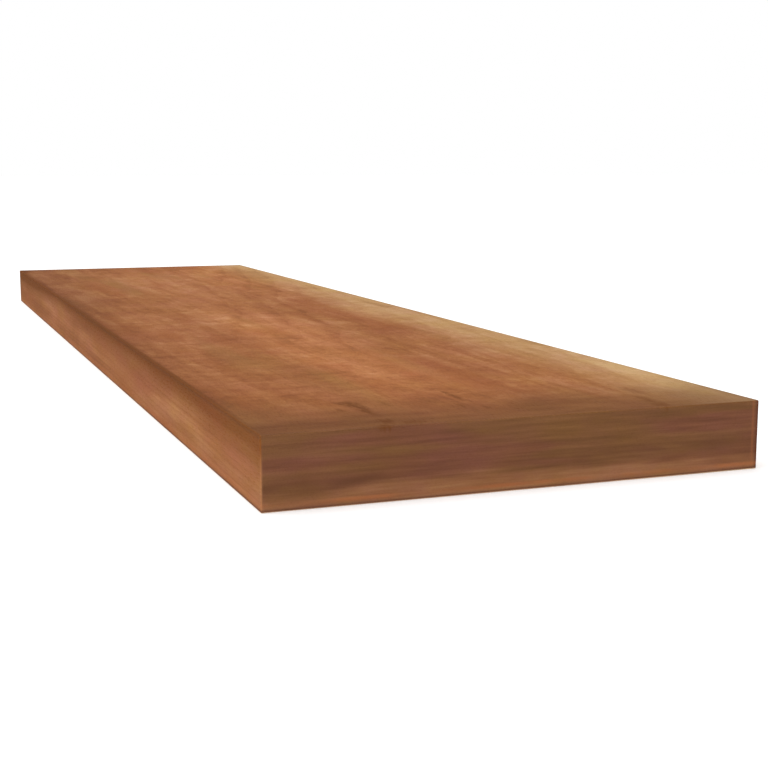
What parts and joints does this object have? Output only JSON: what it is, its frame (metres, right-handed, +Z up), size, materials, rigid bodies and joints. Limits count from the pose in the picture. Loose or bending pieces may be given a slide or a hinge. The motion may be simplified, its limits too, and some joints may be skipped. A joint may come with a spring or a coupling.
{
  "type": "retrofit stair tread",
  "caption": "Solid wooden cap that goes over an old stair tread, with a flat board, a square nose that hangs down in front and a matching return at the open end.",
  "frame": {"origin": "middle of the footprint, on the surface that the tread lies on", "axes": "+X along the step towards the end with the return, -Y is the side of the nose, +Y the back edge at the riser, +Z up"},
  "size_m": [1.2192, 0.3048, 0.0413],
  "materials": {
    "wood": "satin clear coat on reddish brown wood"
  },
  "bodies": {
    "root": {"tread": "wood"}
  },
  "joints": []
}
